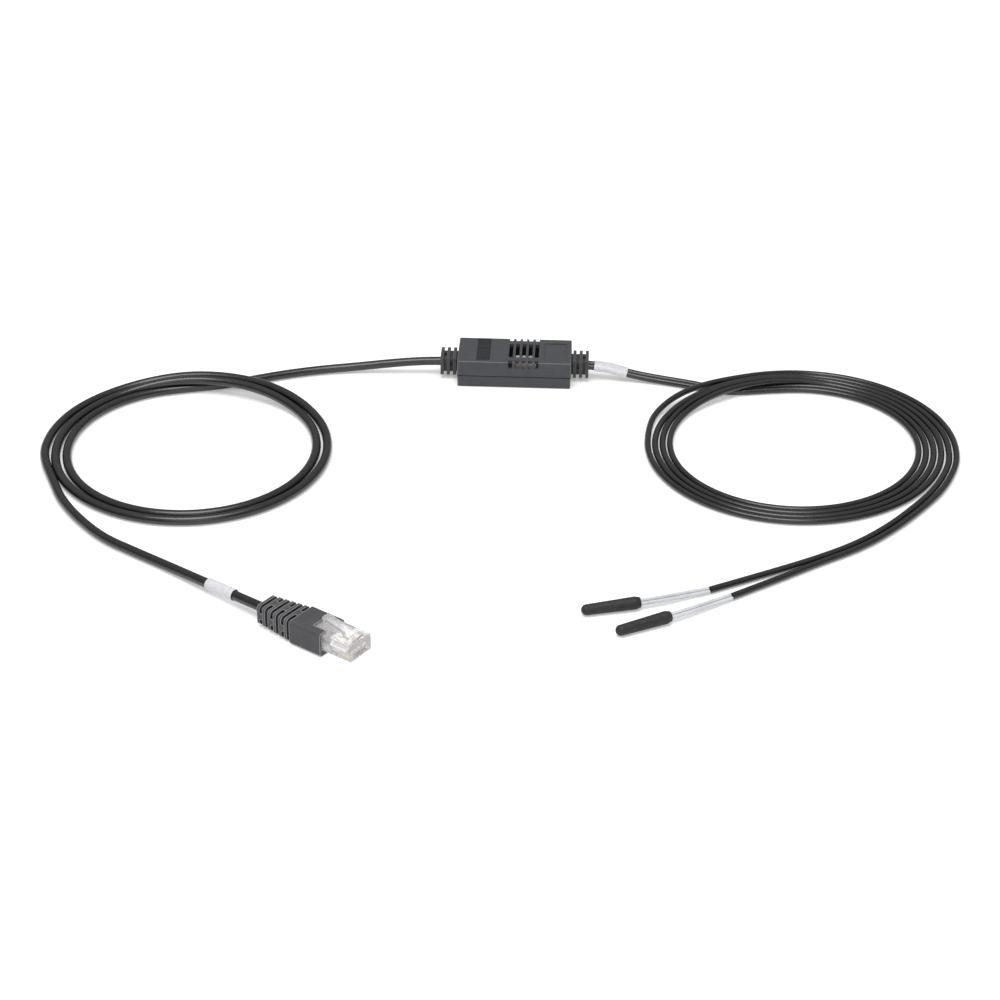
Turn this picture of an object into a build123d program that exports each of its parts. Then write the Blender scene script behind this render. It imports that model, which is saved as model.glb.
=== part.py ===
from build123d import *

import os
from math import atan2, cos, degrees, pi, radians, sin, tan

os.makedirs("parts", exist_ok=True)

# Rack temperature sensor, in millimetres, +Z up.
# The origin is under the middle of the sensor module, on the surface that everything lies on.
# +X runs along the module to the probe side, +Y points away from the viewer.

# Driving dimensions: module
case_length = 49.4
case_width = 24.4
case_height = 12.0
parting_height = 5.5
side_draft = 4.6
end_draft = 1.8
wall = 1.5
case_corner = 0.6
top_edge = 0.4
bottom_edge = 0.2
seam_step = 0.15
seam_depth = 0.45
seam_height = 0.4
lip_height = 0.8
lip_width = 0.6
fit_gap = 0.05
seat_gap = 0.5

# Driving dimensions: vents and recesses in the top
vent_columns = 5
vent_pitch = 2.81
vent_centre = 4.0
vent_width = 1.75
vent_margin = 5.8
notch_depth = 2.7
notch_drop = 2.8
band_centre = (-13.5, 0.6)
band_width = 5.8
band_margin = 1.8
band_depth = 0.4
label_recess_centre = (17.6, 0.0)
label_recess_width = 9.6
label_recess_margin = 4.5
label_recess_depth = 0.25

# Driving dimensions: strain reliefs
cable_height = 6.2
core_size = (8.4, 6.4)
core_corner = 0.8
rib_size = (10.6, 8.5)
rib_corner = 0.6
rib_thickness = 1.3
rib_stations = (0.7, 3.4, 6.1)
flange_step = 1.0
flange_thickness = 1.4
window_size = (2.4, 1.1)
window_depth = 1.4
side_window_rise = 0.9

# Driving dimensions: circuit board
board_end_room = 5.2
board_side_room = 1.7
board_thickness = 1.2
board_height = 3.2
post_inset = 2.0
post_diameter = 3.0
pin_diameter = 1.4
header_inset = 1.5
header_length = 4.0
header_width = 8.4
header_height = 3.8
front_row_inset = 2.4
rear_row_inset = 2.6
chip_size = 5.0
chip_height = 1.1
chip_room = 1.0
dimple_radius = 0.35
dimple_inset = 0.7
sensor_size = (6.4, 3.0)
sensor_offset = -0.6
sensor_height = 3.8
sensor_hole_radius = 0.8
tantalum_size = (2.2, 3.2)
tantalum_height = 3.6
tantalum_room = 0.4
can_diameter = 2.4
can_height = 4.0
can_room = 3.15
resistor_count = 6
resistor_pitch = 3.0
resistor_centre = -2.0
resistor_size = (1.7, 0.9)
resistor_height = 0.5
row_room = 1.45

# Driving dimensions: cables
network_diameter = 3.8
network_lift = 1.95
probe_diameter = 2.65
probe_lift = 1.4
pair_spacing = 2.9
jacket_inside = 2.5

# Driving dimensions: plug, from its front end backwards
plug_place = (-46.4, -226.8)
plug_angle = -34.2
plug_width = 11.68
plug_length = 21.5
plug_height = 6.6
plug_floor = 2.45
contact_count = 8
contact_pitch = 1.02
latch_width = 6.2
lever_width = 3.6
lever_start = 5.4
latch_reach = 16.0
latch_rise = 3.5
latch_thickness = 1.0
jacket_station = 12.4
core_gap = 0.3
cavity_end = 9.5
channel_end = 2.6
boot_front = 13.0
boot_block = 14.5
boot_tail = 17.0
boot_size = (13.8, 9.6)
boot_end_size = (10.0, 8.2)
boot_axis = 4.8
boot_bore_gap = 0.3
latch_room = (6.0, 6.6)
boot_ribs = 6
boot_rib_thickness = 1.25

# Driving dimensions: probes
cap_length = 22.5
cap_tip_radius = 2.05
cap_shoulder_radius = 2.45
cap_mouth_radius = 1.95
cap_taper = 1.9
cap_bore_radius = 1.55
cap_floor = 2.4
twin_core_diameter = 1.5
twin_core_spacing = 1.3
twin_core_inside = 5.0
bead_radius = 1.3
bead_clearance = 0.9
leg_diameter = 0.5

# Places along the module that follow its length
jacket_end = case_length / 2 - wall - jacket_inside

# Routes of the cables, by hand, from the module outwards
network_lead_route = [
    (-jacket_end, 0, cable_height),
    (-36.7, 0, cable_height),
    (-53.0, -0.2, 4.6),
    (-69.0, -0.6, 2.5),
    (-84.0, -3.2, network_lift),
    (-98.5, -8.2, network_lift),
    (-109.0, -12.9, network_lift),
    (-118.0, -17.2, network_lift),
]
network_tail_route = [
    (-179.6, -108.3, network_lift),
    (-174.3, -120.2, network_lift),
    (-165.0, -134.2, network_lift),
    (-152.5, -149.3, network_lift),
    (-140.2, -159.0, network_lift),
    (-121.9, -171.3, network_lift),
    (-90.2, -197.0, boot_axis),
    (-56.7, -219.8, boot_axis),
]
probe_pair_route = [
    (jacket_end, 0, cable_height),
    (37.0, 0, cable_height),
    (51.0, -1.5, 2.7),
    (64.0, -3.6, probe_lift),
    (75.5, -6.9, probe_lift),
    (85.5, -10.9, probe_lift),
]
rear_tail_route = [
    (177.9, -76.9, probe_lift),
    (171.2, -92.3, probe_lift),
    (161.8, -106.7, probe_lift),
    (149.9, -123.3, probe_lift),
    (136.5, -137.9, probe_lift),
    (119.2, -150.7, probe_lift),
    (98.0, -163.4, probe_lift),
    (79.3, -174.3, probe_lift),
]
front_tail_route = [
    (180.5, -78.1, probe_lift),
    (173.8, -93.7, probe_lift),
    (164.2, -108.3, probe_lift),
    (152.1, -125.1, probe_lift),
    (138.5, -140.1, probe_lift),
    (120.8, -153.1, probe_lift),
    (104.0, -166.2, probe_lift),
    (87.4, -178.4, probe_lift),
]

# Coils: mean half size and band of turns, then centre, stretch along the long axis and turn of each oval
network_coil_reach = 61.5
network_band = 10.35
network_outer_centre = (-132.1, -75.4)
network_outer_stretch = 1.9
network_outer_turn = 117
network_inner_centre = (-129.1, -77.1)
network_inner_stretch = 1.75
network_inner_turn = 85
probe_coil_reach = 65.65
probe_band = 15.15
probe_outer_centre = (120.5, -57.7)
probe_outer_stretch = 1.45
probe_outer_turn = 51
probe_inner_centre = (117.1, -60.5)
probe_inner_stretch = 0.8
probe_inner_turn = 56

# Probes: the tip and the mouth of each cap on the ground, and the roll of its twin lead
rear_probe = ((31.6, -192.2), (53.8, -185.9), 35)
front_probe = ((44.4, -205.7), (64.2, -195.0), 30)


def bend_radii(points):
    """The largest tangent arc at each inner point of a route: it takes 0.45 of the shorter run."""
    radii = []
    for before, here, after in zip(points, points[1:], points[2:]):
        run_in = Vector(*here) - Vector(*before)
        run_out = Vector(*after) - Vector(*here)
        half_turn = radians(run_in.get_angle(run_out)) / 2
        radii.append(0.45 * min(run_in.length, run_out.length) / tan(half_turn))
    return radii


def shifted(points, sideways):
    """A route moved sideways along Y."""
    return [(x, y + sideways, z) for x, y, z in points]


def between(start, end, share):
    """The value at a share of the way from start to end."""
    return start + (end - start) * share


def oval(reach, stretch):
    """The half sizes of an oval from their mean and its stretch."""
    return (reach + stretch, reach - stretch)


# Places that several pieces share
rear_lead_route = shifted(probe_pair_route, -pair_spacing / 2)
front_lead_route = shifted(probe_pair_route, pair_spacing / 2)
network_outer_reach = oval(network_coil_reach, network_outer_stretch)
network_inner_reach = oval(network_coil_reach - network_band, network_inner_stretch)
probe_outer_reach = oval(probe_coil_reach, probe_outer_stretch)
probe_inner_reach = oval(probe_coil_reach - probe_band, probe_inner_stretch)
plug_axis = Vector(cos(radians(plug_angle)), sin(radians(plug_angle)), 0)
plug_across = Vector(-plug_axis.Y, plug_axis.X, 0)
plug_plane = Plane(origin=(*plug_place, 0), x_dir=plug_axis, z_dir=(0, 0, 1))
plug_side = Plane(origin=(*plug_place, 0), x_dir=plug_axis, z_dir=plug_across * -1)
plug_middle = plug_floor + plug_height / 2
plug_top = plug_floor + plug_height
vent_xs = [vent_centre + (i - (vent_columns - 1) / 2) * vent_pitch for i in range(vent_columns)]
board_size = (case_length - 2 * (wall + board_end_room), case_width - 2 * (wall + board_side_room))
board_top = board_height + board_thickness
header_reach = board_size[0] / 2 - header_inset
post_span = (board_size[0] - 2 * post_inset, board_size[1] - 2 * post_inset)
front_row = front_row_inset - board_size[1] / 2
rear_row = board_size[1] / 2 - rear_row_inset
behind_rear_row = rear_row - resistor_size[1] / 2
header_inner_end = header_reach - header_length
chip_x = chip_room + chip_size / 2 - header_inner_end
chip_y = behind_rear_row - row_room - chip_size / 2
can_row = behind_rear_row - can_room - can_diameter / 2
sensor_x = vent_xs[3] + sensor_offset
tantalum_xs = (vent_xs[1], tantalum_room + tantalum_size[0] / 2 - header_inner_end)
vent_length = case_width - 2 * vent_margin
notch_middle = case_width / 2 - notch_depth + wall
notch_floor = case_height - notch_drop


def drafted(length, width, rise):
    """The size of a moulded outline at a rise from its widest section."""
    end_loss = 2 * rise * tan(radians(end_draft))
    side_loss = 2 * rise * tan(radians(side_draft))
    return (length - end_loss, width - side_loss)


def rolled_side(heading, roll):
    """The level direction beside a heading, rolled about it."""
    level_side = heading.cross(Vector(0, 0, 1)).normalized()
    return level_side * cos(radians(roll)) + level_side.cross(heading) * sin(radians(roll))


def across_plug(station):
    """The plane square to the plug's axis, a station behind the plug's front end."""
    return Plane(origin=plug_plane.from_local_coords((-station, 0, 0)), x_dir=plug_across, z_dir=plug_axis)


# Upper shell
with BuildPart() as upper_shell:
    with BuildSketch(Plane.XY.offset(parting_height)):
        RectangleRounded(case_length, case_width, case_corner)
    with BuildSketch(Plane.XY.offset(case_height)):
        RectangleRounded(*drafted(case_length, case_width, case_height - parting_height), case_corner)
    loft()
    fillet(upper_shell.faces().sort_by(Axis.Z)[-1].edges(), top_edge)
    with BuildSketch(Plane.XY.offset(parting_height)):
        RectangleRounded(case_length - 2 * wall, case_width - 2 * wall, case_corner / 2)
    extrude(amount=case_height - parting_height - wall, mode=Mode.SUBTRACT)
    with BuildSketch(Plane.XY.offset(parting_height)):
        lip_room = 2 * (wall - lip_width - fit_gap)
        RectangleRounded(case_length - lip_room, case_width - lip_room, case_corner)
    extrude(amount=lip_height + fit_gap, mode=Mode.SUBTRACT)
    with BuildSketch(Plane.XY.offset(case_height - 2 * wall)):
        with Locations(*[(x, 0) for x in vent_xs]):
            Rectangle(vent_width, vent_length)
    extrude(amount=3 * wall, mode=Mode.SUBTRACT)
    with BuildSketch(Plane.XY.offset(notch_floor)):
        with Locations(*[(x, side * notch_middle) for x in vent_xs for side in (-1, 1)]):
            Rectangle(vent_width, 2 * wall)
    extrude(amount=case_height - notch_floor, mode=Mode.SUBTRACT)
    with BuildSketch(Plane.XY.offset(case_height - band_depth)):
        with Locations(band_centre):
            Rectangle(band_width, case_width - 2 * band_margin)
    extrude(amount=2 * band_depth, mode=Mode.SUBTRACT)
    with BuildSketch(Plane.XY.offset(case_height - label_recess_depth)):
        with Locations(label_recess_centre):
            RectangleRounded(label_recess_width, case_width - 2 * label_recess_margin, 0.8)
    extrude(amount=2 * label_recess_depth, mode=Mode.SUBTRACT)
    with BuildSketch(Plane.YZ):
        with Locations((0, cable_height)):
            RectangleRounded(core_size[0] + 2 * fit_gap, core_size[1] + 2 * fit_gap, core_corner)
    extrude(amount=case_length, both=True, mode=Mode.SUBTRACT)
upper_shell.part.label = "upper_shell"
export_step(upper_shell.part, "parts/upper_shell.step")

# Lower shell
with BuildPart() as lower_shell:
    seam_size = (case_length - 2 * seam_step, case_width - 2 * seam_step)
    with BuildSketch():
        RectangleRounded(*drafted(*seam_size, parting_height), case_corner)
    with BuildSketch(Plane.XY.offset(parting_height)):
        RectangleRounded(*seam_size, case_corner)
    loft()
    fillet(lower_shell.faces().sort_by(Axis.Z)[0].edges(), bottom_edge)
    with BuildSketch(Plane.XY.offset(wall)):
        RectangleRounded(case_length - 2 * wall, case_width - 2 * wall, case_corner / 2)
    extrude(amount=parting_height, mode=Mode.SUBTRACT)
    with BuildSketch(Plane.XY.offset(parting_height - wall)):
        lip_room = 2 * (wall - lip_width)
        RectangleRounded(case_length - lip_room, case_width - lip_room, case_corner)
        RectangleRounded(case_length - 2 * wall, case_width - 2 * wall, case_corner / 2, mode=Mode.SUBTRACT)
    extrude(amount=wall + lip_height)
    with BuildSketch(Plane.XY.offset(parting_height - seam_height)):
        RectangleRounded(case_length, case_width, case_corner)
        RectangleRounded(*[size - 2 * seam_depth for size in seam_size], case_corner, mode=Mode.SUBTRACT)
    extrude(amount=seam_height, mode=Mode.SUBTRACT)
    with BuildSketch(Plane.XY.offset(wall)):
        with GridLocations(*post_span, 2, 2):
            Circle(post_diameter / 2)
    extrude(amount=board_height - wall)
    with BuildSketch(Plane.XY.offset(board_height)):
        with GridLocations(*post_span, 2, 2):
            Circle(pin_diameter / 2)
    extrude(amount=board_thickness + 0.4)
    with BuildSketch(Plane.YZ):
        with Locations((0, cable_height)):
            RectangleRounded(core_size[0] + 2 * fit_gap, core_size[1] + 2 * fit_gap, core_corner)
    extrude(amount=case_length, both=True, mode=Mode.SUBTRACT)
lower_shell.part.label = "lower_shell"
export_step(lower_shell.part, "parts/lower_shell.step")

# Circuit board on the four posts
with BuildPart() as circuit_board:
    with BuildSketch(Plane.XY.offset(board_height)):
        RectangleRounded(*board_size, 0.8)
        with GridLocations(*post_span, 2, 2):
            Circle(pin_diameter / 2 + fit_gap, mode=Mode.SUBTRACT)
    extrude(amount=board_thickness)
circuit_board.part.label = "circuit_board"
export_step(circuit_board.part, "parts/circuit_board.step")

# Controller chip with its index dimple
with BuildPart() as controller_chip:
    with BuildSketch(Plane.XY.offset(board_top)):
        with Locations((chip_x, chip_y)):
            Rectangle(chip_size, chip_size)
    extrude(amount=chip_height)
    dimple_reach = chip_size / 2 - dimple_inset
    with BuildSketch(Plane.XY.offset(board_top + chip_height - 0.2)):
        with Locations((chip_x - dimple_reach, chip_y + dimple_reach)):
            Circle(dimple_radius)
    extrude(amount=0.4, mode=Mode.SUBTRACT)
controller_chip.part.label = "controller_chip"
export_step(controller_chip.part, "parts/controller_chip.step")

# Air sensor under the vents, with its sensing hole
with BuildPart() as ambient_sensor:
    with BuildSketch(Plane.XY.offset(board_top)):
        with Locations((sensor_x, front_row)):
            RectangleRounded(*sensor_size, 0.4)
    extrude(amount=sensor_height)
    with BuildSketch(Plane.XY.offset(board_top + sensor_height - 0.8)):
        with Locations((sensor_x, front_row)):
            Circle(sensor_hole_radius)
    extrude(amount=1.0, mode=Mode.SUBTRACT)
ambient_sensor.part.label = "ambient_sensor"
export_step(ambient_sensor.part, "parts/ambient_sensor.step")

# Two moulded capacitors under the vents
with BuildPart() as tantalum_capacitors:
    with BuildSketch(Plane.XY.offset(board_top)):
        with Locations(*[(x, front_row) for x in tantalum_xs]):
            Rectangle(*tantalum_size)
    extrude(amount=tantalum_height)
    chamfer(tantalum_capacitors.faces().group_by(Axis.Z)[-1].edges(), 0.25)
tantalum_capacitors.part.label = "tantalum_capacitors"
export_step(tantalum_capacitors.part, "parts/tantalum_capacitors.step")

# Can capacitors in a row under the middle vents
with BuildPart() as filter_capacitors:
    with BuildSketch(Plane.XY.offset(board_top)):
        with Locations(*[(x, can_row) for x in vent_xs[1:4]]):
            Circle(can_diameter / 2)
    extrude(amount=can_height)
    fillet(filter_capacitors.faces().group_by(Axis.Z)[-1].edges(), 0.25)
filter_capacitors.part.label = "filter_capacitors"
export_step(filter_capacitors.part, "parts/filter_capacitors.step")

# Chip resistors
with BuildPart() as chip_resistors:
    with BuildSketch(Plane.XY.offset(board_top)):
        with Locations((resistor_centre, rear_row)):
            with GridLocations(resistor_pitch, 0, resistor_count, 1):
                Rectangle(*resistor_size)
    extrude(amount=resistor_height)
chip_resistors.part.label = "chip_resistors"
export_step(chip_resistors.part, "parts/chip_resistors.step")

# Wire headers at the board's ends
for name, side in (("network_header", -1), ("probe_header", 1)):
    with BuildPart() as header:
        with BuildSketch(Plane.XY.offset(board_top)):
            with Locations((side * (header_reach - header_length / 2), 0)):
                Rectangle(header_length, header_width)
        extrude(amount=header_height)
        chamfer(header.faces().sort_by(Axis.Z)[-1].edges(), 0.3)
    header.part.label = name
    export_step(header.part, f"parts/{name}.step")

# Cores from the cable ends to the headers
wire_places = {
    "network_wires": (-1, 0.5, [(y, z) for y in (-0.75, 0.75) for z in (-0.75, 0.75)]),
    "probe_wires": (1, 0.42, [(y, z) for y in (-pair_spacing / 2, pair_spacing / 2) for z in (-0.55, 0.55)]),
}
for name, (side, wire_radius, places) in wire_places.items():
    with BuildPart() as wires:
        header_plane = Plane(
            origin=(side * header_reach, 0, cable_height), x_dir=(0, side, 0), z_dir=(side, 0, 0)
        )
        with BuildSketch(header_plane):
            with Locations(*places):
                Circle(wire_radius)
        extrude(amount=jacket_end - header_reach)
    wires.part.label = name
    export_step(wires.part, f"parts/{name}.step")

# Strain reliefs: a core through the end wall, a flange inside it and three ribs outside
relief_bores = {
    "network_relief": (-1, [(0, 0)], network_diameter),
    "probe_relief": (1, [(-pair_spacing / 2, 0), (pair_spacing / 2, 0)], probe_diameter),
}
for name, (side, bores, bore_diameter) in relief_bores.items():
    end_x = side * case_length / 2
    end_plane = Plane(origin=(end_x, 0, cable_height), x_dir=(0, side, 0), z_dir=(side, 0, 0))
    inner_plane = end_plane.offset(-wall - fit_gap - flange_thickness)
    relief_length = wall + fit_gap + flange_thickness + rib_stations[-1] + rib_thickness
    with BuildPart() as relief:
        with BuildSketch(inner_plane):
            RectangleRounded(*[size + 2 * flange_step for size in core_size], core_corner)
        extrude(amount=flange_thickness)
        with BuildSketch(inner_plane):
            RectangleRounded(*core_size, core_corner)
        extrude(amount=relief_length)
        for station in rib_stations:
            with BuildSketch(end_plane.offset(station)):
                RectangleRounded(*rib_size, rib_corner)
            extrude(amount=rib_thickness)
        outer_gap = end_x + side * (rib_stations[1] + rib_thickness + rib_stations[2]) / 2
        inner_gap = end_x + side * (rib_stations[0] + rib_thickness + rib_stations[1]) / 2
        with Locations(*[(outer_gap, 0, cable_height + s * core_size[1] / 2) for s in (-1, 1)]):
            Box(window_size[1], window_size[0], window_depth, mode=Mode.SUBTRACT)
        side_window = cable_height + side_window_rise
        with Locations(*[(inner_gap, s * core_size[0] / 2, side_window) for s in (-1, 1)]):
            Box(window_size[1], window_depth, window_size[0], mode=Mode.SUBTRACT)
        with BuildSketch(inner_plane):
            with Locations(*bores):
                Circle(bore_diameter / 2 + fit_gap)
        extrude(amount=relief_length, mode=Mode.SUBTRACT)
    relief.part.label = name
    export_step(relief.part, f"parts/{name}.step")

# Cable runs outside the coils
cable_runs = {
    "network_lead": (network_lead_route, network_diameter),
    "network_tail": (network_tail_route, network_diameter),
    "rear_probe_lead": (rear_lead_route, probe_diameter),
    "front_probe_lead": (front_lead_route, probe_diameter),
    "rear_probe_tail": (rear_tail_route, probe_diameter),
    "front_probe_tail": (front_tail_route, probe_diameter),
}
for name, (route_points, diameter) in cable_runs.items():
    radii = bend_radii(route_points)
    with BuildPart() as cable:
        with BuildLine() as route:
            FilletPolyline(*route_points, radius=radii)
        with BuildSketch(Plane(origin=route_points[0], z_dir=route.line % 0)):
            Circle(diameter / 2)
        sweep(path=route.line)
    route_length = sum(edge.length for edge in route.edges())
    section_volume = pi * diameter**2 / 4 * route_length
    print(f"{name}: radii {[round(r) for r in radii]}, length {route_length:.1f}")
    print(f"{name}: volume {cable.part.volume:.1f}, section times length {section_volume:.1f}")
    cable.part.label = name
    export_step(cable.part, f"parts/{name}.step")

# Coils as flat oval rings, with a seat where each cable run meets the ring
seat_points = 4
coils = {
    "network_coil": (
        (network_outer_centre, network_outer_reach, network_outer_turn),
        (network_inner_centre, network_inner_reach, network_inner_turn),
        network_diameter,
        [network_lead_route[::-1], network_tail_route],
    ),
    "probe_coil": (
        (probe_outer_centre, probe_outer_reach, probe_outer_turn),
        (probe_inner_centre, probe_inner_reach, probe_inner_turn),
        probe_diameter,
        [rear_lead_route[::-1], front_lead_route[::-1], rear_tail_route, front_tail_route],
    ),
}
for name, (outer_oval, inner_oval, diameter, runs) in coils.items():
    coil_height = diameter + 0.1
    with BuildPart() as coil:
        with BuildSketch():
            for (centre, reach, turn), mode in (
                (outer_oval, Mode.ADD),
                (inner_oval, Mode.SUBTRACT),
            ):
                with Locations(Location(centre, turn)):
                    Ellipse(*reach, mode=mode)
        extrude(amount=coil_height)
        fillet(coil.edges().filter_by(GeomType.ELLIPSE), 0.4 * diameter)
        for run in runs:
            seat_width = diameter + 2 * seat_gap
            with BuildSketch():
                for start, end in zip(run[:seat_points], run[1:seat_points]):
                    heading = degrees(atan2(end[1] - start[1], end[0] - start[0]))
                    run_length = (Vector(*end) - Vector(*start)).length
                    with Locations(Location(start[:2], heading)):
                        Rectangle(run_length, seat_width, align=(Align.MIN, Align.CENTER))
                    with Locations(end[:2]):
                        Circle(seat_width / 2)
            extrude(amount=coil_height, mode=Mode.SUBTRACT)
    coil.part.label = name
    export_step(coil.part, f"parts/{name}.step")

# Wrap label on the network cable, cut from a sleeve along the same route
label_length = 13.9
label_inset = 19.1
label_run = Vector(*network_tail_route[-2]) - Vector(*network_tail_route[-3])
label_axis = label_run.normalized()
label_start = Vector(*network_tail_route[-3]) + label_axis * label_inset
label_end = label_start + label_axis * label_length
with BuildPart() as network_label:
    with BuildLine() as sleeve_route:
        FilletPolyline(*network_tail_route, radius=bend_radii(network_tail_route))
    with BuildSketch(Plane(origin=network_tail_route[0], z_dir=sleeve_route.line % 0)):
        Circle(network_diameter / 2 + 0.35)
        Circle(network_diameter / 2 + 0.12, mode=Mode.SUBTRACT)
    sweep(path=sleeve_route.line)
    split(bisect_by=Plane(origin=label_start, z_dir=label_axis), keep=Keep.TOP)
    split(bisect_by=Plane(origin=label_end, z_dir=label_axis), keep=Keep.BOTTOM)
network_label.part.label = "network_label"
export_step(network_label.part, "parts/network_label.step")

# Wrap label round both probe cables
with BuildPart() as probe_label:
    with BuildLine() as label_route:
        FilletPolyline(*probe_pair_route, radius=bend_radii(probe_pair_route))
    with BuildSketch(Plane(origin=probe_pair_route[0], x_dir=(0, 1, 0), z_dir=(1, 0, 0))):
        SlotCenterToCenter(pair_spacing, probe_diameter + 0.75)
        SlotCenterToCenter(pair_spacing, probe_diameter + 0.3, mode=Mode.SUBTRACT)
    sweep(path=label_route.line)
    split(bisect_by=Plane(origin=(34.4, 0, 0), z_dir=(1, 0, 0)), keep=Keep.TOP)
    split(bisect_by=Plane(origin=(48.9, 0, 3.5), z_dir=(1, -0.1, -0.2)), keep=Keep.BOTTOM)
probe_label.part.label = "probe_label"
export_step(probe_label.part, "parts/probe_label.step")

# Plug boot: block round the plug, ribbed tail with alternating webs
boot_end = boot_front + boot_block + boot_tail
boot_pitch = boot_tail / boot_ribs
core_inset = 1.1
with BuildPart() as plug_boot:
    with BuildSketch(across_plug(boot_front + boot_block)):
        with Locations((0, boot_axis)):
            RectangleRounded(*boot_size, 1.3)
    extrude(amount=boot_block)
    with BuildSketch(across_plug(boot_end)):
        with Locations((0, boot_axis)):
            RectangleRounded(*[size - 2 * core_inset for size in boot_end_size], 1.0)
    with BuildSketch(across_plug(boot_front + boot_block)):
        with Locations((0, boot_axis)):
            RectangleRounded(*[size - 2 * core_inset - 0.6 for size in boot_size], 1.0)
    loft()
    for i in range(boot_ribs):
        rib_station = boot_end - i * boot_pitch
        rib_width = between(boot_end_size[0], boot_size[0] - 0.3, i / boot_ribs)
        rib_height = between(boot_end_size[1], boot_size[1] - 0.2, i / boot_ribs)
        with BuildSketch(across_plug(rib_station)):
            with Locations((0, boot_axis)):
                RectangleRounded(rib_width, rib_height, 1.6)
        extrude(amount=boot_rib_thickness)
        web_size = (rib_width, 2.6) if i % 2 == 0 else (3.2, rib_height)
        with BuildSketch(across_plug(rib_station)):
            with Locations((0, boot_axis)):
                Rectangle(*web_size)
        extrude(amount=boot_pitch)
    with BuildSketch(across_plug(plug_length + fit_gap)):
        with Locations((0, plug_middle)):
            Rectangle(plug_width + 2 * fit_gap, plug_height + 2 * fit_gap)
    extrude(amount=plug_length, mode=Mode.SUBTRACT)
    with BuildSketch(across_plug(boot_end)):
        with Locations((0, boot_axis)):
            Circle(network_diameter / 2 + boot_bore_gap)
    extrude(amount=boot_end - plug_length, mode=Mode.SUBTRACT)
    with BuildSketch(plug_plane.offset(plug_middle)):
        with Locations((fit_gap - boot_front, 0)):
            Rectangle(*latch_room, align=(Align.MAX, Align.CENTER))
    extrude(amount=plug_height, mode=Mode.SUBTRACT)
plug_boot.part.label = "plug_boot"
export_step(plug_boot.part, "parts/plug_boot.step")

# Clear plug body with its latch moulded on
contact_ts = [(i - (contact_count - 1) / 2) * contact_pitch for i in range(contact_count)]
with BuildPart() as plug_body:
    with BuildSketch(across_plug(plug_length)):
        with Locations((0, plug_middle)):
            RectangleRounded(plug_width, plug_height, 0.4)
    extrude(amount=plug_length)
    with BuildSketch(across_plug(plug_length)):
        with Locations((0, boot_axis + 0.3)):
            Rectangle(9.4, 4.4)
    extrude(amount=plug_length - cavity_end, mode=Mode.SUBTRACT)
    with BuildSketch(across_plug(cavity_end)):
        with Locations((0, boot_axis)):
            Rectangle(8.4, 1.7)
    extrude(amount=cavity_end - channel_end, mode=Mode.SUBTRACT)
    with BuildSketch(plug_plane.offset(plug_floor)):
        with Locations(*[(-3.2, t) for t in contact_ts]):
            Rectangle(6.6, 0.46)
    extrude(amount=boot_axis - plug_floor, mode=Mode.SUBTRACT)
    with BuildSketch(plug_side):
        with BuildLine():
            Polyline(
                (-1.0, plug_top - 0.2),
                (-2.8, plug_top - 0.2),
                (-4.2, plug_top + 0.5),
                (-latch_reach, plug_top + latch_rise),
                (-latch_reach, plug_top + latch_rise + latch_thickness),
                (-3.4, plug_top + 0.5 + latch_thickness),
                (-1.0, plug_top + 0.7),
                close=True,
            )
        make_face()
    extrude(amount=latch_width / 2, both=True)
    with BuildSketch(plug_plane.offset(plug_top + 0.2)):
        with Locations(*[(-lever_start, side * (lever_width + latch_width) / 4) for side in (-1, 1)]):
            Rectangle(latch_reach, (latch_width - lever_width) / 2, align=(Align.MAX, Align.CENTER))
    extrude(amount=latch_rise + 2 * latch_thickness, mode=Mode.SUBTRACT)
plug_body.part.label = "plug_body"
export_step(plug_body.part, "parts/plug_body.step")

# Gold contact blades in the plug's slots
with BuildPart() as plug_contacts:
    with BuildSketch(plug_plane.offset(plug_floor + 0.15)):
        with Locations(*[(-3.5, t) for t in contact_ts]):
            Rectangle(5.4, 0.36)
    extrude(amount=1.35)
plug_contacts.part.label = "plug_contacts"
export_step(plug_contacts.part, "parts/plug_contacts.step")

# Cores that fan out from the cable's end to the contacts
with BuildPart() as plug_conductors:
    for i, t in enumerate(contact_ts):
        level = 1 if i % 2 == 0 else -1
        bundle_t = (i // 2 - 1.5) * 0.93
        local_points = [
            (core_gap - jacket_station, bundle_t, boot_axis + level * 0.48),
            (0.3 - cavity_end, t, boot_axis + level * 0.3),
            (-0.4 - channel_end, t, boot_axis + level * 0.3),
        ]
        points = [plug_plane.from_local_coords(p) for p in local_points]
        core_points = [tuple(p) for p in points]
        with BuildLine() as core_route:
            FilletPolyline(*core_points, radius=bend_radii(core_points))
        with BuildSketch(Plane(origin=core_points[0], z_dir=core_route.line % 0)):
            Circle(0.41)
        sweep(path=core_route.line)
plug_conductors.part.label = "plug_conductors"
export_step(plug_conductors.part, "parts/plug_conductors.step")

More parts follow.
